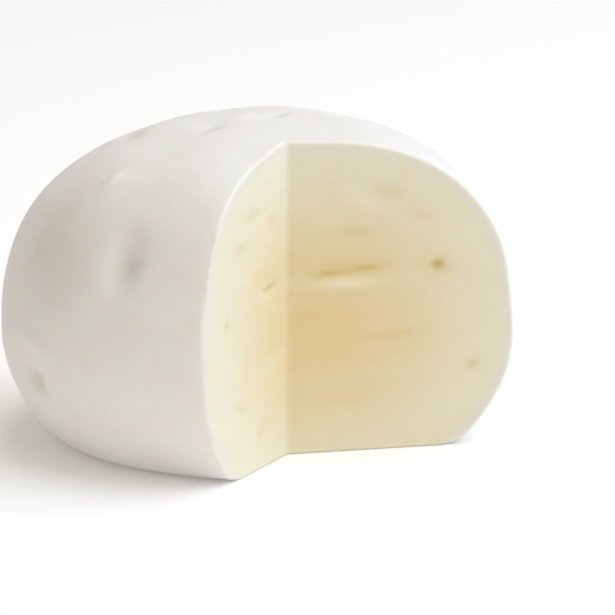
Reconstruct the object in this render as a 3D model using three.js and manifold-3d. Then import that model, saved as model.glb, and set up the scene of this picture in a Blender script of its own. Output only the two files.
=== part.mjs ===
// A ball of fresh cheese with a wide wedge cut out of it, resting on its own flat base.
//
// The ball was shaped by hand while it was soft. It has full shoulders, an underside that turns
// in more gently, a flat base where it settled, and a slightly uneven girth and crown.
// Two upright cuts that meet in an upright inner edge took the wedge out.
//
// Frame: millimetres, +Z up. The origin is the point of the base under the ball's upright axis.
// The left wall of the cut runs from the inner edge towards -Y and faces +X. The right wall runs
// from the same edge towards +X and a little +Y, so the opening between them is wider than square.

import * as THREE from "three";
import { mergeVertices } from "three/addons/utils/BufferGeometryUtils.js";
import Module from "manifold-3d";

// Driving dimensions of the ball, in millimetres.
const BALL_RADIUS = 34;         // of the widest girth, before its unevenness
const BALL_HEIGHT = 42.4;       // from the base to the crown
const GIRTH_LEVEL = 15.8;       // height of the widest girth
const CUT_OFF_BELOW = 9.1;      // how much further down the underside would run with no flat base

// Fullness of the outline: 2 is an ellipse, and more is squarer.
const SHOULDER_FULLNESS = 2.66;
const UNDERSIDE_FULLNESS = 1.96;

// Unevenness. Each wave has its size as a part of the radius or height, how many times it goes
// up and down around the ball, and the direction of one of its high sides, in degrees from +X.
const GIRTH_OVAL = { size: 0.02, times: 2, toward: -35 };
const GIRTH_LOBES = { size: 0.021, times: 3, toward: -19.5 };
const TURNING_OVAL = { size: 0.02, times: 2, toward: -71.5 };   // turns over at half height
const ENDS_LEAN = { size: 0.014, times: 1, toward: -12 };       // shifts the crown and the foot
const CROWN_TILT = { size: 0.0115, times: 1, toward: 15 };
const CROWN_SADDLE = { size: 0.021, times: 2, toward: -67.5 };

// The cut: where its inner edge stands, and the directions that its two walls run in, in degrees.
const INNER_EDGE = { x: 8.25, y: -8.5 };
const LEFT_WALL_TOWARD = -90;
const RIGHT_WALL_TOWARD = 39;

// How finely the skin is divided, up its side and around it.
const UNDERSIDE_ROWS = 8;
const SHOULDER_ROWS = 18;
const COLUMNS = 72;

const radians = THREE.MathUtils.degToRad;

/** Height of a wave at an angle around the ball, as a part of what it is added to. */
function wave({ size, times, toward }, angle) {
  return size * Math.cos(times * (angle - radians(toward)));
}

/** Outline of the even ball as [radius, height] pairs, from the rim of the base up to the crown.
 *  The radius is a part of BALL_RADIUS. */
function evenOutline() {
  const outline = [];
  const undersideDepth = GIRTH_LEVEL + CUT_OFF_BELOW;
  const rimTurn = Math.asin((GIRTH_LEVEL / undersideDepth) ** (UNDERSIDE_FULLNESS / 2));
  for (let row = 0; row < UNDERSIDE_ROWS; row++) {
    const turn = rimTurn * (1 - row / UNDERSIDE_ROWS);
    const drop = undersideDepth * Math.sin(turn) ** (2 / UNDERSIDE_FULLNESS);
    outline.push([Math.cos(turn) ** (2 / UNDERSIDE_FULLNESS), GIRTH_LEVEL - drop]);
  }
  outline[0][1] = 0;
  for (let row = 0; row <= SHOULDER_ROWS; row++) {
    const turn = (Math.PI / 2) * (row / SHOULDER_ROWS);
    const rise = (BALL_HEIGHT - GIRTH_LEVEL) * Math.sin(turn) ** (2 / SHOULDER_FULLNESS);
    outline.push([Math.cos(turn) ** (2 / SHOULDER_FULLNESS), GIRTH_LEVEL + rise]);
  }
  return outline;
}

/** Point of the uneven skin over one point of the even outline, at an angle around the ball. */
function skinPoint([radius, height], angle) {
  const level = (2 * height) / BALL_HEIGHT - 1;
  const girth = 1 + wave(GIRTH_OVAL, angle) + wave(GIRTH_LOBES, angle)
    + level * wave(TURNING_OVAL, angle) + level ** 2 * wave(ENDS_LEAN, angle);
  const reach = radius * girth;
  const lift = 1 + reach * wave(CROWN_TILT, angle) + reach ** 2 * wave(CROWN_SADDLE, angle);
  const outward = reach * BALL_RADIUS;
  return [outward * Math.cos(angle), outward * Math.sin(angle), height * lift];
}

/** The whole ball as one closed mesh: rings of skin, a crown point and the middle of the base. */
function wholeBall() {
  const outline = evenOutline();
  const rings = outline.slice(0, -1);
  const points = rings.flatMap((step) =>
    Array.from({ length: COLUMNS }, (_, column) =>
      skinPoint(step, (2 * Math.PI * column) / COLUMNS)));
  const crown = points.push([0, 0, BALL_HEIGHT]) - 1;
  const baseMiddle = points.push([0, 0, 0]) - 1;

  const faces = [];
  const topRing = rings.length - 1;
  for (let column = 0; column < COLUMNS; column++) {
    const next = (column + 1) % COLUMNS;
    faces.push(baseMiddle, next, column);
    for (let ring = 0; ring < topRing; ring++) {
      const low = ring * COLUMNS;
      const high = low + COLUMNS;
      faces.push(low + column, low + next, high + next);
      faces.push(low + column, high + next, high + column);
    }
    faces.push(topRing * COLUMNS + column, topRing * COLUMNS + next, crown);
  }

  const geometry = new THREE.BufferGeometry();
  geometry.setAttribute("position", new THREE.Float32BufferAttribute(points.flat(), 3));
  geometry.setIndex(faces);
  return geometry;
}

/** The wedge that was taken out, as an upright prism that stands clear of the ball elsewhere. */
function wedge() {
  const reach = 4 * BALL_RADIUS;
  const clearance = BALL_RADIUS / 4;
  const middle = (LEFT_WALL_TOWARD + RIGHT_WALL_TOWARD) / 2;
  const plan = new THREE.Shape([LEFT_WALL_TOWARD, middle, RIGHT_WALL_TOWARD].map((toward) =>
    new THREE.Vector2(
      INNER_EDGE.x + reach * Math.cos(radians(toward)),
      INNER_EDGE.y + reach * Math.sin(radians(toward)))));
  plan.lineTo(INNER_EDGE.x, INNER_EDGE.y);
  const depth = BALL_HEIGHT + 2 * clearance;
  const geometry = new THREE.ExtrudeGeometry(plan, { depth, bevelEnabled: false });
  return geometry.translate(0, 0, -clearance);
}

const wasm = await Module();
wasm.setup();

/** A closed geometry as a solid that can be cut. */
function toSolid(geometry) {
  geometry.deleteAttribute("normal");
  geometry.deleteAttribute("uv");
  const merged = mergeVertices(geometry);
  return new wasm.Manifold(new wasm.Mesh({
    numProp: 3,
    vertProperties: new Float32Array(merged.attributes.position.array),
    triVerts: new Uint32Array(merged.index.array),
  }));
}

/** A solid as a geometry that can be shown. */
function toGeometry(solid) {
  const { vertProperties, triVerts } = solid.getMesh();
  const geometry = new THREE.BufferGeometry();
  geometry.setAttribute("position", new THREE.BufferAttribute(vertProperties, 3));
  geometry.setIndex(new THREE.BufferAttribute(triVerts, 1));
  geometry.computeVertexNormals();
  return geometry;
}

const cheese = new THREE.MeshStandardMaterial({ color: 0xe4dfd2, roughness: 0.45, metalness: 0 });

const cheeseBall = new THREE.Mesh(toGeometry(toSolid(wholeBall()).subtract(toSolid(wedge()))), cheese);
cheeseBall.name = "cheese_ball";

const group = new THREE.Group();
group.add(cheeseBall);

export default group;
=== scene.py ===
# %% [markdown]
# # A ball of fresh cheese with a wedge cut out
#
# The object is one piece of soft, white, stretched cheese. It was shaped by hand, it settled on
# a flat base, and two upright cuts took a wide wedge out of it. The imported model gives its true
# size and place. Here it gets its finished surface: the hand-made unevenness and dents of the
# skin, the soft edges that a knife leaves, the slits and pits of the cut walls, and the look of
# moist, slightly see-through cheese.

import math

import bpy
import numpy as np
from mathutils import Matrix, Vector


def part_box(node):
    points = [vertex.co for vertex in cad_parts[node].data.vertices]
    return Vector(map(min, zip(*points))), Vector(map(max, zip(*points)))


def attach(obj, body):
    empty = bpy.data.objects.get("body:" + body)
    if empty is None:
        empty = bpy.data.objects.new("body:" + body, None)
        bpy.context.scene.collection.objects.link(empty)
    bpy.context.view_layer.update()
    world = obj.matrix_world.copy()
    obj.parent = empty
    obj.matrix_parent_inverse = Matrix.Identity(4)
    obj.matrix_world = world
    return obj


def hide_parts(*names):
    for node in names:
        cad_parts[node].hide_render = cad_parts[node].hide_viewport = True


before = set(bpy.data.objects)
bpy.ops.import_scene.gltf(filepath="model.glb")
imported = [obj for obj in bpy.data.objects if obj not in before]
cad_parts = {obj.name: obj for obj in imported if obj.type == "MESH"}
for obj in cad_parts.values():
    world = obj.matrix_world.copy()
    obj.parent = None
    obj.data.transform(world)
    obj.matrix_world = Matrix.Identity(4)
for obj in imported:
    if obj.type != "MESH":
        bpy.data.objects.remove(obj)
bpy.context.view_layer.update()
MM = 0.001                  # m
low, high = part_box("cheese_ball")
print("packed ball, mm:", [round((h - l) / MM, 1) for l, h in zip(low, high)])

# %% [markdown]
# ## The camera
#
# A long lens from a little over half a metre away keeps the perspective weak, so that the near
# rim of the cut doesn't loom. The camera stands to the right of the front and looks slightly
# down. It could be turned to the ball by a constraint, but working its place out from angles, a
# distance and an aim says in plain numbers where it is. The aim is moved a few millimetres right
# and down from the ball's axis, so that the ball sits in the upper left of the view.

# %% Camera
CAMERA_AZIMUTH = 25.9       # degrees from the front towards the right
CAMERA_ELEVATION = 13.25
CAMERA_DISTANCE = 544.0     # mm
CAMERA_LENS = 240.2         # mm, on a sensor 36 mm wide
AIM_RIGHT = 6.3             # mm, across the view
AIM_UP = -3.9               # mm, from half the ball's height
NEAREST_SEEN = 10.0         # mm from the lens

azimuth = math.radians(CAMERA_AZIMUTH)
elevation = math.radians(CAMERA_ELEVATION)
towards_camera = Vector((
    math.sin(azimuth) * math.cos(elevation),
    -math.cos(azimuth) * math.cos(elevation),
    math.sin(elevation),
))
view_right = Vector((math.cos(azimuth), math.sin(azimuth), 0.0))
view_up = towards_camera.cross(view_right)
half_height = Vector((0.0, 0.0, (low[2] + high[2]) / 2))
aim = half_height + (view_right * AIM_RIGHT + view_up * AIM_UP) * MM

camera_data = bpy.data.cameras.new("camera")
camera_data.lens = CAMERA_LENS
camera_data.clip_start = NEAREST_SEEN * MM
camera = bpy.data.objects.new("camera", camera_data)
camera.location = aim + towards_camera * CAMERA_DISTANCE * MM
camera.rotation_euler = towards_camera.to_track_quat("Z", "Y").to_euler()
bpy.context.scene.collection.objects.link(camera)
bpy.context.scene.camera = camera
print("camera at, mm:", [round(c / MM) for c in camera.location])

# %% [markdown]
# ## The shape of the ball
#
# The outline is two quarter curves that meet at the widest girth. Each is a rounded square
# between a circle and a box: how full it is is one number. Slow waves around the ball make it
# as uneven as a pair of hands leaves it. A ready-made sphere could be pushed into this shape
# with a sculpting brush, but then no number would say what it is. So the whole shape is kept as
# one question that can be asked of any point: how far outside the skin is it? The walls of the
# cut, the base and every soft edge can be asked about in the same way. All lengths are in
# millimetres until a mesh is put in.

# %% Driving sizes of the ball, in millimetres
BALL_RADIUS = 34.0
BALL_HEIGHT = 42.4
GIRTH_LEVEL = 15.8          # height of the widest girth
CUT_OFF_BELOW = 9.1         # how much further down the underside would run with no flat base
SHOULDER_FULLNESS = 2.66    # 2 is an ellipse, and more is squarer
UNDERSIDE_FULLNESS = 1.96
GIRTH_MIDDLE = np.array([0.0, 0.0, GIRTH_LEVEL])

# A wave's size, as a part of what it changes, its number of high sides, and where one is, degrees
GIRTH_OVAL = (0.02, 2, -35)
GIRTH_LOBES = (0.021, 3, -19.5)
TURNING_OVAL = (0.02, 2, -71.5)     # turns over at half height
ENDS_LEAN = (0.014, 1, -12)         # shifts the crown and the foot
CROWN_TILT = (0.0115, 1, 15)
CROWN_SADDLE = (0.021, 2, -67.5)

# The cut: where its inner edge stands, and the directions of its two walls, degrees
INNER_EDGE = np.array([8.25, -8.5])
LEFT_WALL_TOWARD = -90.0
RIGHT_WALL_TOWARD = 39.0
print("ball", 2 * BALL_RADIUS, "mm across and", BALL_HEIGHT, "mm high, cut open by",
      RIGHT_WALL_TOWARD - LEFT_WALL_TOWARD, "degrees")


# %% The measure of the skin
def wave(shape, angle):
    """Size times the cosine of: times around, times the angle from the high side."""
    size, times, toward = shape
    return size * np.cos(times * (angle - math.radians(toward)))


def skin_measure(points):
    """0 on the skin, under 0 inside. Reach over girth, and the rise from the girth's level over
    its most, are each raised to the power of the fullness and added. The measure is that
    power's root of the sum, less 1."""
    x, y, z = points[..., 0], points[..., 1], points[..., 2]
    angle = np.arctan2(y, x)
    reach = np.hypot(x, y) / BALL_RADIUS
    lift = 1 + reach * wave(CROWN_TILT, angle) + reach**2 * wave(CROWN_SADDLE, angle)
    height = z / lift
    level = 2 * height / BALL_HEIGHT - 1
    girth = 1 + wave(GIRTH_OVAL, angle) + wave(GIRTH_LOBES, angle)
    girth = girth + level * wave(TURNING_OVAL, angle) + level**2 * wave(ENDS_LEAN, angle)
    upper = height > GIRTH_LEVEL
    fullness = np.where(upper, SHOULDER_FULLNESS, UNDERSIDE_FULLNESS)
    depth = np.where(upper, BALL_HEIGHT - GIRTH_LEVEL, GIRTH_LEVEL + CUT_OFF_BELOW)
    rise = np.abs(height - GIRTH_LEVEL) / depth
    return ((reach / girth) ** fullness + rise**fullness) ** (1 / fullness) - 1


print("measure at the middle of the girth:", skin_measure(GIRTH_MIDDLE))


# %% From the measure to a distance
def slope_of(measure, points, step=0.02):
    """Slope of a measure at each point, from its change over a small step each way."""
    steps = step * np.eye(3)
    return np.stack([measure(points + s) - measure(points - s) for s in steps], -1) / (2 * step)


def skin_gap(points):
    """Distance outside the skin in mm, under 0 inside: the measure over its own slope."""
    return skin_measure(points) / np.linalg.norm(slope_of(skin_measure, points), axis=-1)


print("a point 1 mm over the crown is outside by, mm:",
      skin_gap(np.array([[0.0, 0.0, BALL_HEIGHT + 1]])).round(3)[0])

# %% [markdown]
# ## Broad marks
#
# A mark on the skin is a smooth bell of its own width, height and lean. Pressed in it is a dent,
# and pushed out it is a fold or a swelling. A brush could do it, but a mark with numbers can be
# moved and turned later. It is placed as a town is on a globe: by its direction around the ball,
# and by its angle above the widest girth, both seen from the middle of the girth. Two broad ones
# were there before the knife came, so they belong to the shape that is cut, and the rim of the
# right wall runs over them.

# %% Where a ray meets the skin
FAR_OUT = 3 * BALL_RADIUS   # mm, outside the ball for certain
HALVINGS = 40               # each halves what is still in doubt


def reach_skin(start, direction, measure=skin_measure):
    """Where rays from inside meet the skin: the stretch that holds the skin, halved many times."""
    near = np.zeros(direction.shape[:-1])
    far = np.full(direction.shape[:-1], FAR_OUT)
    for _ in range(HALVINGS):
        middle = (near + far) / 2
        inside = measure(start + middle[..., None] * direction) < 0
        near = np.where(inside, middle, near)
        far = np.where(inside, far, middle)
    return start + near[..., None] * direction


def globe_direction(around, above):
    """The way to a place on the globe: around in the level plane, then above it, in degrees."""
    turn, rise = math.radians(around), math.radians(above)
    level = math.cos(rise)
    return np.array([level * math.cos(turn), level * math.sin(turn), math.sin(rise)])


print("skin at the back of the girth, mm:",
      reach_skin(GIRTH_MIDDLE, globe_direction(90, 0)[None]).round(1)[0])


# %% How close a point is to a mark
def skin_nearness(points, mark):
    """From 0 to 1: a bell of the squared parts of the mark's width and height, added and raised
    to the power firm. Points half a radius away or more get 0."""
    way = globe_direction(mark["around"], mark["above"])
    centre = reach_skin(GIRTH_MIDDLE, way[None])[0]
    out = slope_of(skin_measure, centre[None])[0]
    out /= np.linalg.norm(out)
    sideways = np.cross([0, 0, 1.0], out)
    sideways /= np.linalg.norm(sideways)
    upward = np.cross(out, sideways)
    turn = math.radians(mark.get("lean", 0))
    width_way = sideways * math.cos(turn) + upward * math.sin(turn)
    height_way = upward * math.cos(turn) - sideways * math.sin(turn)
    offset = points - centre
    across, along = offset @ width_way / mark["width"], offset @ height_way / mark["height"]
    this_side = np.linalg.norm(offset, axis=-1) < BALL_RADIUS / 2
    return np.exp(-((across**2 + along**2) ** mark.get("firm", 1))) * this_side


# around and above in degrees; half width, half height and depth in mm; lean in degrees
BROAD_MARKS = {
    "crown flat": dict(around=-24.0, above=65.5, width=5.5, height=5.0, depth=0.32),
    "rim swelling": dict(around=18.0, above=47.0, width=5.0, height=4.0, depth=-0.2),
}


def shaped_gap(points):
    """Distance outside the skin once the broad marks have taken off or added their depth."""
    gap = skin_gap(points)
    for mark in BROAD_MARKS.values():
        gap = gap + mark["depth"] * skin_nearness(points, mark)
    return gap


print(len(BROAD_MARKS), "broad marks:", ", ".join(BROAD_MARKS))

# %% [markdown]
# ## The cut and the soft edges
#
# The skin rolls over into the flat base, because the ball sagged there while it was soft. The
# knife came later and left two flat walls, so the rims of the walls are much crisper, and the
# corner where the walls meet inside is only just filled. Rounding a mesh's edges one by one
# would need a bevel on each. Asking the question of the whole shape makes them all at once, with
# a larger-of that blends over a stated width.

# %% Soft edges
BASE_EDGE_WIDTH = 1.8       # mm over which skin and base blend
CUT_EDGE_WIDTH = 0.5        # skin and walls
INNER_EDGE_WIDTH = 0.4      # one wall and the other


def soft_larger(a, b, width):
    """The larger of two. Closeness is 1 where they are equal and 0 where they differ by the
    width; its square times a quarter of the width is added."""
    closeness = np.clip(1 - np.abs(a - b) / width, 0, 1)
    return np.maximum(a, b) + closeness**2 * width / 4


print("the rim of the base is blunted by, mm:", soft_larger(0.0, 0.0, BASE_EDGE_WIDTH))


# %% The cut ball as one question
def wall_gap(points, toward, side):
    """Distance into the cut from the wall that runs from the inner edge in a direction. The cut
    lies to the left of that direction for side 1, and to the right for -1."""
    turn = math.radians(toward)
    across = np.array([-math.sin(turn), math.cos(turn)]) * side
    return (points[..., :2] - INNER_EDGE) @ across


def cut_gap(points):
    """Distance into the cut from the nearer wall: the softly smaller of the two."""
    left = wall_gap(points, LEFT_WALL_TOWARD, 1)
    right = wall_gap(points, RIGHT_WALL_TOWARD, -1)
    return -soft_larger(-left, -right, INNER_EDGE_WIDTH)


def cheese_gap(points):
    """Distance outside the cut ball: outside the skin, under the base or in the cut."""
    ball = soft_larger(shaped_gap(points), -points[..., 2], BASE_EDGE_WIDTH)
    return soft_larger(ball, cut_gap(points), CUT_EDGE_WIDTH)


print("the middle of the girth is", -cheese_gap(GIRTH_MIDDLE[None]).round(1)[0], "mm inside")

# %% [markdown]
# ## The grid of points
#
# A sphere cut by a boolean would leave slivers along the rims, and they catch the light. So
# every patch is worked out around the inner edge of the cut instead, like a fan of upright pages
# hung on it. The first page lies on the right wall and the last on the left wall. On each page
# a row of rays runs from a heart point on the inner edge to the skin, from the rim of the base
# up to the point over the inner edge, where all pages meet. So the skin is one grid, each wall
# is one grid that shares the skin's first or last column, and no seam has to be mended.

# %% How fine the grid is
PAGES = 296
RAYS = 180
WALL_STEPS = 92
BASE_STEPS = 34             # of the wall steps, those that the ring of the base takes up
CROWDING = 0.72             # how much closer the pages stand next to the walls
WALL_CROWDING = 0.8         # and the steps along the walls next to the skin
print(PAGES, "pages of", RAYS, "rays")

# %% Pages and rays, and where they meet the skin
share = np.linspace(0, 1, PAGES + 1)
crowded = share - CROWDING * np.sin(2 * np.pi * share) / (2 * np.pi)
page_start = math.radians(RIGHT_WALL_TOWARD)
page_span = math.radians(LEFT_WALL_TOWARD + 360) - page_start
page_angle = page_start + page_span * crowded
heart = np.array([*INNER_EDGE, GIRTH_LEVEL])
foot = np.array([*INNER_EDGE, 0.0])

level_rays = np.stack([np.cos(page_angle), np.sin(page_angle), 0 * page_angle], -1)
rim = reach_skin(foot, level_rays, shaped_gap)
rim_tilt = -np.arctan2(GIRTH_LEVEL, np.linalg.norm(rim - foot, axis=-1))
tilt = rim_tilt + (np.pi / 2 - rim_tilt) * np.linspace(0, 1, RAYS + 1)[:, None]
rays = np.cos(tilt)[..., None] * level_rays + np.sin(tilt)[..., None] * np.array([0, 0, 1.0])
skin = reach_skin(heart, rays, shaped_gap)
skin[0] = rim
top = skin[-1].mean(0)
skin[-1] = top
print("skin grid", skin.shape, "top of the inner edge, mm", top.round(2))


# %% Walls and base on the same points
def shared_steps(count):
    """Shares from 0 at the inner edge to 1 at the skin, closer together towards the skin."""
    even = np.linspace(0, 1, count + 1)
    return even + WALL_CROWDING * np.sin(np.pi * even) / np.pi


wall_share = shared_steps(WALL_STEPS)
up_share = np.linspace(0, 1, RAYS + 1)[:, None, None]
inner_line = foot + up_share * (top - foot)


def wall(column):
    """Points between the inner edge and one column of skin, row by row."""
    return inner_line + wall_share[None, :, None] * (skin[:, column, None] - inner_line)


right_wall = wall(0)
left_wall = wall(PAGES)
base_share = wall_share[-1 - BASE_STEPS:][::-1]
base_ring = foot + base_share[:, None, None] * (rim - foot)
print("wall grids", right_wall.shape, left_wall.shape, "ring of the base", base_ring.shape)

# %% [markdown]
# ## One closed mesh
#
# A mesh is a list of points and a list of faces that name points by number. The patches are
# joined by giving the points that they share one number only. All pages meet in the top point,
# so the faces under it have three sides, and the rest have four. The middle of the base is flat,
# so one many-sided face covers it.


# %% Numbers of the skin's points
class PointList:
    """Points put in patch by patch, each known by its number."""

    def __init__(self):
        self.patches = []
        self.count = 0

    def put(self, patch):
        """Put in a patch of points and give their numbers, in the patch's own shape."""
        size = patch[..., 0].size
        numbers = np.arange(self.count, self.count + size).reshape(patch.shape[:-1])
        self.patches.append(patch.reshape(-1, 3))
        self.count += size
        return numbers


collected = PointList()
skin_own = collected.put(skin[:-1])
top_number = collected.put(top)


def topped(numbers):
    """A grid of numbers with the shared top point as one more row."""
    return np.vstack([numbers, np.full((1, numbers.shape[1]), top_number)])


skin_number = topped(skin_own)
print("points of the skin", collected.count)

# %% Numbers of the walls' points and the base's
line_number = np.append(collected.put(inner_line[:-1, 0]), top_number)


def wall_numbers(grid, column):
    """Numbers of a wall's points: the inner edge, the wall's own columns, the skin's column."""
    own = topped(collected.put(grid[:-1, 1:-1]))
    return np.hstack([line_number[:, None], own, skin_number[:, column, None]])


right_number = wall_numbers(right_wall, 0)
left_number = wall_numbers(left_wall, PAGES)
base_own = collected.put(base_ring[1:, 1:-1])
points = np.vstack(collected.patches)
print("points of all patches", len(points))

# %% The ring and the middle of the base
ring_columns = np.arange(WALL_STEPS - 1, WALL_STEPS - 1 - BASE_STEPS, -1)
base_number = np.vstack([
    skin_number[0],
    np.hstack([right_number[0, ring_columns, None], base_own, left_number[0, ring_columns, None]]),
])
base_middle = np.concatenate([
    base_number[-1],
    left_number[0, WALL_STEPS - 1 - BASE_STEPS::-1],
    right_number[0, 1:WALL_STEPS - BASE_STEPS],
])
print("corners of the middle of the base", len(base_middle))


# %% Faces
def quads(grid):
    """The four-sided faces between neighbouring rows and columns of a grid of numbers."""
    return np.stack([grid[:-1, :-1], grid[:-1, 1:], grid[1:, 1:], grid[1:, :-1]], -1).reshape(-1, 4)


def under_top(row):
    """The three-sided faces between a row of numbers and the point that all pages share."""
    return np.stack([row[:-1], row[1:], np.full(len(row) - 1, top_number)], -1)


four_sided = np.vstack([
    quads(skin_number[:-1]),
    quads(right_number[:-1]),
    quads(left_number[:-1])[:, ::-1],
    quads(base_number)[:, ::-1],
])
three_sided = np.vstack([
    under_top(skin_number[-2]),
    under_top(right_number[-2]),
    under_top(left_number[-2])[:, ::-1],
])
print("faces", len(four_sided) + len(three_sided) + 1)

# %% [markdown]
# ## Onto the softened shape
#
# So far the patches meet in sharp edges. Each point now slides along the slope of the whole
# shape's gap until the gap is nothing, which rounds every edge by its own width. The slope left
# at the end is the way outward, and the relief is added along it.


# %% Settle the points on the softened shape
def settled(points, rounds=4):
    """Each round moves a point down the slope by its gap over the slope's square."""
    for _ in range(rounds):
        slope = slope_of(cheese_gap, points)
        gap = cheese_gap(points)
        points = points - (gap / (slope**2).sum(-1))[:, None] * slope
    return points


points = settled(points)
points[:, 2] = np.clip(points[:, 2], 0, None)
slope = slope_of(cheese_gap, points)
outward = slope / np.linalg.norm(slope, axis=-1, keepdims=True)
print("largest gap left, mm:", round(float(np.abs(cheese_gap(points)).max()), 3))

# %% [markdown]
# ## Relief of the skin
#
# Hands and the other balls in the brine leave slow dents, and the stretched curd leaves fine
# soft wrinkles. A noise texture on a Displace modifier could do it, but it would have to stop
# at the rims. Here every height is a number that fades where it should. The unevenness is a sum
# of waves in random but fixed directions, and it is added along the outward direction.

# %% Slow and fine unevenness
LENGTH_SPREAD = (0.7, 1.5)  # shortest and longest wave, as parts of the stated length

# height and length in mm, how many waves are added, and the seed of their directions
SKIN_WAVES = (
    dict(height=0.10, length=14, count=24, seed=3),
    dict(height=0.022, length=4.5, count=40, seed=5),
)


def soft_noise(points, height, length, count, seed, stretch=(1, 1, 1)):
    """Height times the sum of sines of about one length, in random directions and from random
    starts, over the root of their count."""
    dice = np.random.default_rng(seed)
    direction = dice.normal(size=(count, 3))
    direction /= np.linalg.norm(direction, axis=1, keepdims=True)
    pitch = 2 * np.pi / (length * dice.uniform(*LENGTH_SPREAD, count))
    start = dice.uniform(0, 2 * np.pi, count)
    phase = (points * np.array(stretch)) @ (direction * pitch[:, None]).T + start
    return height * np.sin(phase).sum(1) / math.sqrt(count)


skin_relief = sum(soft_noise(points, **waves) for waves in SKIN_WAVES)
print("unevenness of the skin, mm:", skin_relief.min().round(2), "to", skin_relief.max().round(2))

# %% Which points are skin and which are wall
SKIN_TO_WALL = 0.35         # mm on each side of the rim, over which one turns into the other


def smooth_step(low_value, high_value, value):
    """0 up to the low value, 1 from the high value, and a smooth rise between them."""
    t = np.clip((value - low_value) / (high_value - low_value), 0, 1)
    return t * t * (3 - 2 * t)


under_skin = -shaped_gap(points)
under_wall = -cut_gap(points)
cut_share = smooth_step(-SKIN_TO_WALL, SKIN_TO_WALL, under_skin - under_wall)
print("share of points on the cut walls:", round(float(cut_share.mean()), 2))

# %% [markdown]
# The smaller marks came after the cut was made, or stop short of it, so they are added to the
# skin's relief only, each by name. Each also says how much painted shade darkens it, a warmer
# grey that stands in for the shade in its hollow. The shaded side paints the shade of the side
# turned away from the main light.

# %% Marks of the skin
# firm: 1 is a soft bell, 2 has a flat floor and steep sides; how much painted shade darkens a mark:
# from 0 to 1
SKIN_MARKS = {
    "thumb dent": dict(
        around=-97.0, above=23.0, width=2.3, height=3.4, lean=-4, depth=2.5, shade_and_tint=0.2),
    # painted shade of the side turned away from the main light
    "shaded side": dict(around=-122.0, above=22.0, width=8.0, height=8.5, depth=0.1, shade_and_tint=0.38),
    "side dent": dict(around=-134.5, above=22.5, width=2.8, height=2.2, lean=25, depth=1.4),
    "side fold": dict(around=-129.0, above=21.5, width=0.6, height=2.0, lean=-47, depth=-0.6),
    "high fold": dict(around=-115.0, above=42.0, width=1.1, height=1.7, lean=-14, depth=-0.5),
    "shoulder dent": dict(
        around=-160.0, above=56.0, width=3.5, height=1.4, lean=6, depth=0.4, shade_and_tint=0.6),
    "shoulder fold": dict(around=-157.0, above=51.5, width=1.2, height=0.9, depth=-0.3),
    "crown dent": dict(around=-130.0, above=75.5, width=1.6, height=2.0, lean=40, depth=0.3),
    "crown pit": dict(
        around=-120.0, above=74.0, width=0.8, height=2.1, lean=50, depth=0.28, shade_and_tint=0.85),
    "crown fold": dict(around=152.0, above=82.0, width=1.8, height=2.0, lean=40, depth=-0.4),
    "crown crease": dict(around=83.0, above=78.5, width=0.6, height=2.3, depth=0.2, shade_and_tint=0.5),
    "low dent": dict(
        around=-124.0, above=-7.5, width=1.9, height=1.8, lean=-12, depth=0.7, firm=1.2, shade_and_tint=0.5),
    "low fold": dict(around=-126.0, above=2.0, width=2.0, height=1.4, lean=-16, depth=-0.35),
    "low band": dict(around=-120.5, above=1.0, width=4.2, height=1.4, lean=-16, depth=-0.25),
}

# How much painted shade darkens each point: on the skin it stands in for the shade in the hollows,
# and on the walls it also adds an amber tint
shade_and_tint_share = np.zeros(len(points))
for mark in SKIN_MARKS.values():
    nearness = skin_nearness(points, mark) * (1 - cut_share)
    skin_relief -= mark["depth"] * nearness
    shade_and_tint_share = np.maximum(shade_and_tint_share, mark.get("shade_and_tint", 0) * nearness)
print(len(SKIN_MARKS), "marks on the skin, from", skin_relief.min().round(2), "to",
      skin_relief.max().round(2), "mm")

# %% [markdown]
# The far side has been handled as much as the near side. Its marks follow no plan, so they are
# drawn by lot: shallow dents and a few folds, over the stretch that has no marks by name.

# %% Marks of the far side
FAR_MARKS = 16
FAR_SEED = 21
FAR_AROUND = (38.0, 190.0)              # degrees around the ball
FAR_ABOVE = (-15.0, 62.0)               # degrees above the widest girth
FAR_WIDTH = (0.8, 2.6)                  # mm
FAR_HEIGHT = (1.2, 3.2)
FAR_LEAN = (-60.0, 60.0)                # degrees
FAR_DEPTHS = (0.7, 0.4, 0.25, -0.2)     # mm

lots = np.random.default_rng(FAR_SEED)
for _ in range(FAR_MARKS):
    far_mark = dict(
        around=lots.uniform(*FAR_AROUND),
        above=lots.uniform(*FAR_ABOVE),
        width=lots.uniform(*FAR_WIDTH),
        height=lots.uniform(*FAR_HEIGHT),
        lean=lots.uniform(*FAR_LEAN),
        depth=lots.choice(FAR_DEPTHS),
    )
    skin_relief -= far_mark["depth"] * skin_nearness(points, far_mark) * (1 - cut_share)
print(FAR_MARKS, "marks on the far side")
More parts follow.
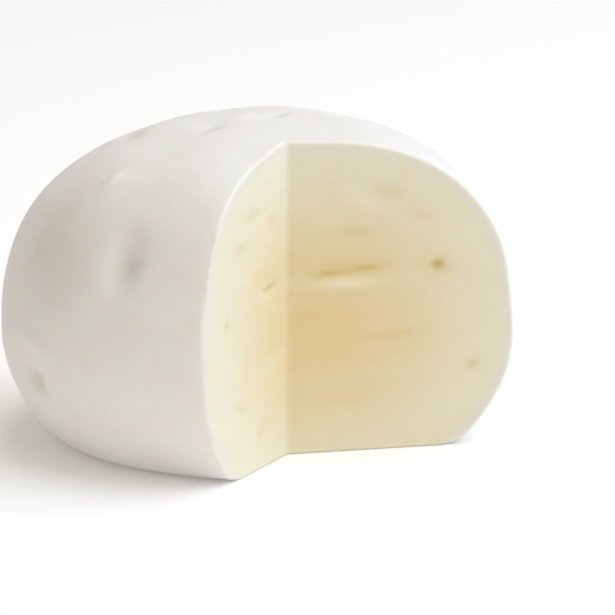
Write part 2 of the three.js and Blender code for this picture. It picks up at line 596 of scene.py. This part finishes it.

# %% [markdown]
# ## Relief of the cut walls
#
# Stretched cheese is made of folded layers that lie nearly level. The knife opens some of the
# folds as thin slits, drags the soft flesh into faint smears, and leaves small pits where drops
# of whey sat. Each is placed by its distance from the inner edge and its height. Each is darkened
# with an amber tint and painted shade, which stands in for the shade in each slit, pit and smear
# and around it. Where a lip stands out, the mark is painted paler instead: a painted highlight
# where the lip catches the light. They could be cut into the mesh, but a bell that presses the
# grid in keeps it whole and smooth.

# %% Slits, pits and smears of the walls
# out and up from the foot of the inner edge, half length, half width and depth in mm
# slope in degrees; how much painted shade with an amber tint darkens a mark, and how much painted
# highlight lightens it: from 0 to 1
LEFT_MARKS = {
    "slit": dict(out=5.1, up=23.5, length=2.1, width=0.38, slope=-9, depth=0.32, shade_and_tint=0.4),
    "short slit": dict(out=17.5, up=21.0, length=0.9, width=0.5, slope=-67, depth=0.2, shade_and_tint=0.25),
    "high smear": dict(out=10.3, up=33.9, length=2.6, width=0.8, slope=-1, depth=0.1, shade_and_tint=0.22),
    "hooked smear": dict(out=11.0, up=33.1, length=0.9, width=0.8, slope=0, depth=0.1, shade_and_tint=0.1),
    "side smear": dict(out=13.3, up=30.2, length=2.0, width=0.9, slope=-3, depth=0.12, shade_and_tint=0.26),
    "small smear": dict(out=4.8, up=32.2, length=1.1, width=0.6, slope=10, depth=0.1, shade_and_tint=0.22),
    "low smear": dict(out=7.5, up=5.2, length=1.8, width=0.9, slope=-20, depth=0.12, shade_and_tint=0.2),
    "low slit": dict(out=14.0, up=9.5, length=1.6, width=0.5, slope=25, depth=0.2, shade_and_tint=0.25),
}
RIGHT_MARKS = {
    "near slit": dict(out=6.0, up=24.1, length=2.4, width=0.5, slope=3, depth=0.13, shade_and_tint=0.75),
    "far slit": dict(out=10.4, up=24.6, length=2.0, width=0.5, slope=0, depth=0.13, shade_and_tint=0.75),
    "slit halo": dict(out=8.6, up=24.7, length=4.8, width=1.2, slope=2, depth=0.1, shade_and_tint=0.25),
    "ridge": dict(out=7.6, up=22.7, length=3.6, width=0.75, slope=0, depth=-0.3, painted_highlight=0.8),
    "pit": dict(out=20.2, up=24.6, length=1.0, width=0.75, slope=-10, depth=0.3, shade_and_tint=1.0),
    "pit halo": dict(out=20.0, up=24.4, length=2.4, width=1.4, slope=-10, depth=0.1, shade_and_tint=0.3),
    "high smear": dict(out=13.4, up=34.5, length=2.1, width=0.9, slope=-11, depth=0.15, shade_and_tint=0.22),
    "side smear": dict(out=17.9, up=31.2, length=2.0, width=0.9, slope=-20, depth=0.12, shade_and_tint=0.2),
    "pale smear": dict(out=10.0, up=33.2, length=2.6, width=1.0, slope=-20, depth=-0.15, painted_highlight=0.3),
    "faint smear": dict(out=9.0, up=29.5, length=2.6, width=0.7, slope=-1, depth=0.12, shade_and_tint=0.24),
    "low fold": dict(out=14.0, up=15.5, length=3.6, width=0.6, slope=4, depth=0.15, shade_and_tint=0.25),
    "low pit": dict(out=25.0, up=11.0, length=0.9, width=0.65, slope=15, depth=0.2, shade_and_tint=0.35),
    "foot smear": dict(out=8.0, up=7.0, length=2.4, width=0.9, slope=-8, depth=0.12, shade_and_tint=0.15),
}


def wall_nearness(points, toward, mark):
    """From 0 to 1: a bell of the squared parts of the mark's length and width, added."""
    turn, slope = math.radians(toward), math.radians(mark["slope"])
    wall_way = np.array([math.cos(turn), math.sin(turn)])
    run = (points[:, :2] - INNER_EDGE) @ wall_way - mark["out"]
    rise = points[:, 2] - mark["up"]
    along = (run * math.cos(slope) + rise * math.sin(slope)) / mark["length"]
    across = (rise * math.cos(slope) - run * math.sin(slope)) / mark["width"]
    return np.exp(-(along**2 + across**2))


print(len(LEFT_MARKS), "marks on the left wall and", len(RIGHT_MARKS), "on the right")

# %% Relief of the walls
# as for the skin, with the waves flattened into near-level layers by their stretch
WALL_WAVES = (
    dict(height=0.05, length=9, count=24, seed=11, stretch=(1, 1, 2.2)),
    dict(height=0.012, length=2.6, count=40, seed=12, stretch=(1, 1, 3.0)),
)

left_gap = np.abs(wall_gap(points, LEFT_WALL_TOWARD, 1))
right_gap = np.abs(wall_gap(points, RIGHT_WALL_TOWARD, -1))
on_left = left_gap < right_gap
# How much painted highlight lightens each point, where a lip stands out and catches the light
painted_highlight_share = np.zeros(len(points))
wall_relief = sum(soft_noise(points, **waves) for waves in WALL_WAVES)
for toward, marks, on_wall in (
    (LEFT_WALL_TOWARD, LEFT_MARKS, on_left),
    (RIGHT_WALL_TOWARD, RIGHT_MARKS, ~on_left),
):
    for mark in marks.values():
        nearness = wall_nearness(points, toward, mark) * on_wall * cut_share
        wall_relief -= mark["depth"] * nearness
        shade_and_tint_share = np.maximum(shade_and_tint_share, mark.get("shade_and_tint", 0) * nearness)
        painted_highlight_share = np.maximum(painted_highlight_share, mark.get("painted_highlight", 0) * nearness)
print("relief of the walls, mm:", wall_relief.min().round(2), "to", wall_relief.max().round(2))

# %% Both reliefs, dying out towards the flat base
FADE_HEIGHT = 3.0           # mm above the base

relief = skin_relief * (1 - cut_share) + wall_relief * cut_share
relief *= smooth_step(0.0, FADE_HEIGHT, points[:, 2])
points = points + relief[:, None] * outward
print("relief from", relief.min().round(2), "to", relief.max().round(2), "mm")

# %% [markdown]
# ## Into the mesh
#
# Points could be added one at a time, which is slow. Whole lists of points, corners and faces
# are put in at once instead, with the flat middle of the base as one many-sided face. Four
# measures are kept on the points for the finish: how far under the skin a point lies, how much
# it belongs to a cut wall, how much painted shade and tint darken it, and how much painted
# highlight lightens it.


# %% Mesh and measures
def put_in(name, points, face_groups):
    """A mesh, in metres and smooth all over, from points and from groups of like-sided faces."""
    mesh = bpy.data.meshes.new(name)
    corner = np.concatenate([group.ravel() for group in face_groups])
    totals = np.concatenate([np.full(len(group), group.shape[1]) for group in face_groups])
    starts = np.cumsum(totals) - totals
    mesh.vertices.add(len(points))
    mesh.vertices.foreach_set("co", (points * MM).ravel())
    mesh.loops.add(len(corner))
    mesh.loops.foreach_set("vertex_index", corner)
    mesh.polygons.add(len(starts))
    mesh.polygons.foreach_set("loop_start", starts)
    mesh.polygons.foreach_set("loop_total", totals)
    mesh.polygons.foreach_set("use_smooth", np.ones(len(starts), bool))
    mesh.update(calc_edges=True)
    return mesh


ball_mesh = put_in("cut_cheese_ball", points, [four_sided, three_sided, base_middle[None, ::-1]])
measures = {"under_skin": under_skin, "cut": cut_share, "shade_and_tint": shade_and_tint_share, "painted_highlight": painted_highlight_share}
for name, values in measures.items():
    ball_mesh.attributes.new(name, "FLOAT", "POINT").data.foreach_set("value", values)
ball = bpy.data.objects.new("cut_cheese_ball", ball_mesh)
bpy.context.scene.collection.objects.link(ball)
print("mesh", len(ball_mesh.vertices), "points", len(ball_mesh.polygons), "faces")

# %% [markdown]
# ## The finish
#
# Fresh cheese is white curd full of whey, so light goes a few millimetres in and comes out
# again warmer. Subsurface scattering does that. The skin is paler and greyer than the flesh,
# the flesh is cream, and a pale band lies just under the skin where it has dried. Deeper in,
# the flesh is painted darker and more amber, which stands in for the shade and warm bounce
# light of the deep corner of the cut. The colours could be painted by hand, but the points
# already know how deep they lie, so the nodes mix the colours from the measures and a little
# cloudiness.


# %% Colours as they are seen
def linear(red, green, blue):
    """A colour as seen on a screen, 0 to 255, as the light values that the shader wants."""
    seen = np.array([red, green, blue]) / 255
    light = np.where(seen <= 0.04045, seen / 12.92, ((seen + 0.055) / 1.055) ** 2.4)
    return (*(float(c) for c in light), 1.0)


print("middle grey on a screen, as light:", round(linear(128, 128, 128)[0], 3))


# %% A helper that adds and joins nodes
class Finish:
    """A material and short ways to add and join its nodes."""

    def __init__(self, name):
        self.material = bpy.data.materials.new(name)
        self.material.use_nodes = True
        self.tree = self.material.node_tree
        self.shader = self.tree.nodes["Principled BSDF"]
        self.place = self.add("ShaderNodeTexCoord").outputs["Object"]

    def add(self, kind, **settings):
        """A new node of a kind, with its settings."""
        node = self.tree.nodes.new(kind)
        for key, value in settings.items():
            setattr(node, key, value)
        return node

    def feed(self, socket, source):
        """Join a socket to another node's output, or set it to a number or colour."""
        if isinstance(source, bpy.types.NodeSocket):
            self.tree.links.new(source, socket)
        else:
            socket.default_value = source

    def measure(self, name):
        """A measure that is kept on the points."""
        return self.add("ShaderNodeAttribute", attribute_name=name).outputs["Fac"]

    def clouds(self, per_metre, detail, stretch=(1, 1, 1), rough=0.5):
        """Noise over the object's own place, 0 to 1, with so many clouds per metre."""
        mapping = self.add("ShaderNodeMapping")
        mapping.inputs["Scale"].default_value = stretch
        self.feed(mapping.inputs["Vector"], self.place)
        noise = self.add("ShaderNodeTexNoise")
        self.feed(noise.inputs["Vector"], mapping.outputs["Vector"])
        noise.inputs["Scale"].default_value = per_metre
        noise.inputs["Detail"].default_value = detail
        noise.inputs["Roughness"].default_value = rough
        return noise.outputs["Fac"]

    def spread(self, value, low_in, high_in, low_out=0.0, high_out=1.0):
        """A value carried smoothly from one range to another."""
        node = self.add("ShaderNodeMapRange", interpolation_type="SMOOTHSTEP")
        self.feed(node.inputs["Value"], value)
        node.inputs["From Min"].default_value = low_in
        node.inputs["From Max"].default_value = high_in
        node.inputs["To Min"].default_value = low_out
        node.inputs["To Max"].default_value = high_out
        return node.outputs["Result"]

    def patches(self, per_metre, detail, edges, between=(0.0, 1.0), stretch=(1, 1, 1)):
        """Clouds with firmer edges: the noise between two edges, carried between two values."""
        return self.spread(self.clouds(per_metre, detail, stretch), *edges, *between)

    def total(self, a, b):
        """Two values added."""
        node = self.add("ShaderNodeMath", operation="ADD")
        self.feed(node.inputs[0], a)
        self.feed(node.inputs[1], b)
        return node.outputs["Value"]

    def blend(self, share, first, second):
        """A colour between two, by a share from 0 to 1."""
        node = self.add("ShaderNodeMix", data_type="RGBA")
        self.feed(node.inputs["Factor"], share)
        self.feed(node.inputs["A"], first)
        self.feed(node.inputs["B"], second)
        return node.outputs["Result"]


# %% Colours of the cheese
SKIN = linear(237, 236, 233)
SKIN_CLOUD = linear(236, 233, 229)
# painted shade of the skin's hollows and of its side away from the main light
SKIN_SHADE = linear(206, 199, 180)
RIM = linear(228, 225, 213)             # the band just under the skin
FLESH_OUTER = linear(232, 226, 204)
# the flesh's cream darkened with painted shade and warm bounce light, for the deep corner of the
# cut
FLESH_HEART_SHADED = linear(229, 209, 161)
FLESH_CLOUD = linear(231, 224, 197)
# amber tint with painted shade, for the walls' slits, pits and smears and the shade around them
FLESH_SHADE_AND_AMBER = linear(214, 186, 100)
# painted highlight, for lips that stand out and catch the light
FLESH_HIGHLIGHT = linear(238, 230, 205)
RIM_DEPTH = (0.6, 2.2)                  # mm under the skin: the band starts to fade, is gone
SHADED_HEART_DEPTH = (2.0, 22.0)               # the flesh is still all outer, is all heart

print("flesh at the heart, as light values:", [round(c, 2) for c in FLESH_HEART_SHADED[:3]])

# %% Skin
cheese = Finish("fresh_cheese")
shade_and_tint = cheese.measure("shade_and_tint")

skin_clouds = cheese.patches(per_metre=90, detail=2, edges=(0.38, 0.62))
skin_colour = cheese.blend(skin_clouds, SKIN, SKIN_CLOUD)
# painted shade in the skin's hollows and on the side turned from the main light
skin_colour = cheese.blend(shade_and_tint, skin_colour, SKIN_SHADE)
print("skin done, nodes:", len(cheese.tree.nodes))

# %% [markdown]
# A cut through such cheese shows no hard line under the skin. So the depth under the skin is
# made to wander a little before it is turned into colour, and faint level layers lie in it.

# %% Flesh
wobble = cheese.patches(per_metre=180, detail=2, edges=(0.3, 0.7), between=(-0.25, 0.25))
depth_under_skin = cheese.total(cheese.measure("under_skin"), wobble)
# towards the heart the flesh is darkened with painted shade and warm bounce light of the deep
# corner of the cut
to_shaded_heart = cheese.spread(depth_under_skin, *SHADED_HEART_DEPTH)
flesh_colour = cheese.blend(to_shaded_heart, FLESH_OUTER, FLESH_HEART_SHADED)
layers = cheese.patches(
    per_metre=70, detail=4, edges=(0.45, 0.7), between=(0, 0.35), stretch=(1, 1, 3.5))
flesh_colour = cheese.blend(layers, flesh_colour, FLESH_CLOUD)
# amber tint with painted shade in the walls' slits, pits and smears
flesh_colour = cheese.blend(shade_and_tint, flesh_colour, FLESH_SHADE_AND_AMBER)
# painted highlight on the lips that stand out
flesh_colour = cheese.blend(cheese.measure("painted_highlight"), flesh_colour, FLESH_HIGHLIGHT)

in_flesh = cheese.spread(depth_under_skin, *RIM_DEPTH)
wall_colour = cheese.blend(in_flesh, RIM, flesh_colour)
colour = cheese.blend(cheese.measure("cut"), skin_colour, wall_colour)
print("flesh done, nodes:", len(cheese.tree.nodes))

# %% [markdown]
# Moist cheese has a soft, broad gloss that varies from place to place, and a grain of curd that
# can be felt more than seen. The grain is too fine for the mesh, so a bump gives it. Red light
# goes deepest into the cheese and blue light least, which is what makes its shadows warm.

# %% Gloss, grain and light under the surface
REFRACTION = 1.4
SHINE = 0.35                            # 0.5 is plain, and less is duller
SCATTER_DEPTH = 1.0 * MM
SCATTER_SHARES = (1.0, 0.72, 0.42)      # of that depth, for red, green and blue
GRAIN_STRENGTH = 0.25
GRAIN_DEPTH = 0.10 * MM

shader = cheese.shader
cheese.feed(shader.inputs["Base Color"], colour)
gloss = cheese.patches(per_metre=260, detail=3, edges=(0.3, 0.7), between=(0.56, 0.68))
cheese.feed(shader.inputs["Roughness"], gloss)
shader.inputs["IOR"].default_value = REFRACTION
shader.inputs["Specular IOR Level"].default_value = SHINE
shader.inputs["Subsurface Weight"].default_value = 1.0
shader.inputs["Subsurface Radius"].default_value = SCATTER_SHARES
shader.inputs["Subsurface Scale"].default_value = SCATTER_DEPTH

grain = cheese.clouds(per_metre=700, detail=4, stretch=(1, 1, 1.8), rough=0.55)
bump = cheese.add("ShaderNodeBump")
bump.inputs["Strength"].default_value = GRAIN_STRENGTH
bump.inputs["Distance"].default_value = GRAIN_DEPTH
cheese.feed(bump.inputs["Height"], grain)
cheese.feed(shader.inputs["Normal"], bump.outputs["Normal"])
print("finish done, nodes:", len(cheese.tree.nodes))

# %% The finished piece in its place
ball_mesh.materials.append(cheese.material)
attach(ball, "root")
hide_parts("cheese_ball")
print("the ball of cheese rides the body root")

# %% [markdown]
# ## Floor and light
#
# A plain floor, white as paper, lies under the ball, and a warm, even surrounding light fills
# the shadows. The main light is large and high behind the right shoulder of the ball, so that its
# crown is brightest. Two cooler ones stand to the right for the left wall, and a faint warm one
# low in front is for the right wall and the dents. One large lamp could light the whole ball,
# but each of its faces has its own warmth, so each has its own lamp. The floor sends light back
# up under the ball.

# %% Floor
FLOOR_HALF = 12.0           # m
PAPER_WHITE = (0.96, 0.96, 0.96, 1)
PAPER_ROUGHNESS = 0.9
PAPER_GLOW_COLOUR = (1, 0.98, 0.94, 1)
PAPER_GLOW = 0.10           # keeps the floor pale in the shadow of the ball

floor_mesh = bpy.data.meshes.new("floor")
corners = [(-1, -1, 0), (1, -1, 0), (1, 1, 0), (-1, 1, 0)]
floor_mesh.from_pydata([Vector(c) * FLOOR_HALF for c in corners], [], [(0, 1, 2, 3)])
floor = bpy.data.objects.new("floor", floor_mesh)
bpy.context.scene.collection.objects.link(floor)
paper = bpy.data.materials.new("paper")
paper.use_nodes = True
paper_shader = paper.node_tree.nodes["Principled BSDF"]
paper_shader.inputs["Base Color"].default_value = PAPER_WHITE
paper_shader.inputs["Roughness"].default_value = PAPER_ROUGHNESS
paper_shader.inputs["Emission Color"].default_value = PAPER_GLOW_COLOUR
paper_shader.inputs["Emission Strength"].default_value = PAPER_GLOW
floor_mesh.materials.append(paper)
print("floor", 2 * FLOOR_HALF, "m square")

# %% Lights
LIGHT_DISTANCE = 1.1        # m from the ball


def soft_light(name, around, above, side, watts, colour):
    """A square area light turned to the ball, unseen by the camera. Its place is a direction:
    degrees around from the front towards the right, and degrees above the level. Side in m."""
    turn, rise = math.radians(around), math.radians(above)
    outward = Vector((
        math.sin(turn) * math.cos(rise), -math.cos(turn) * math.cos(rise), math.sin(rise)))
    data = bpy.data.lights.new(name, "AREA")
    data.size = side
    data.energy = watts
    data.color = colour
    lamp = bpy.data.objects.new(name, data)
    lamp.location = half_height + outward * LIGHT_DISTANCE
    lamp.rotation_euler = outward.to_track_quat("Z", "Y").to_euler()
    lamp.visible_camera = False
    bpy.context.scene.collection.objects.link(lamp)


soft_light("main light", around=120, above=68, side=1.2, watts=9.3, colour=(1.0, 1.0, 1.0))
soft_light("right light", around=120, above=12, side=0.8, watts=2.7, colour=(0.50, 0.72, 1.0))
soft_light("side light", around=90, above=40, side=0.8, watts=1.7, colour=(0.42, 0.68, 1.0))
soft_light("front light", around=20, above=12, side=0.8, watts=1.5, colour=(1.0, 0.86, 0.64))

# %% Surrounding light
SURROUND_COLOUR = (1.0, 0.93, 0.84, 1)
SURROUND_STRENGTH = 0.385

world = bpy.data.worlds.new("world")
world.use_nodes = True
surround = world.node_tree.nodes["Background"]
surround.inputs["Color"].default_value = SURROUND_COLOUR
surround.inputs["Strength"].default_value = SURROUND_STRENGTH
bpy.context.scene.world = world
bpy.context.scene.view_settings.view_transform = "Standard"
print("surrounding light", SURROUND_STRENGTH)
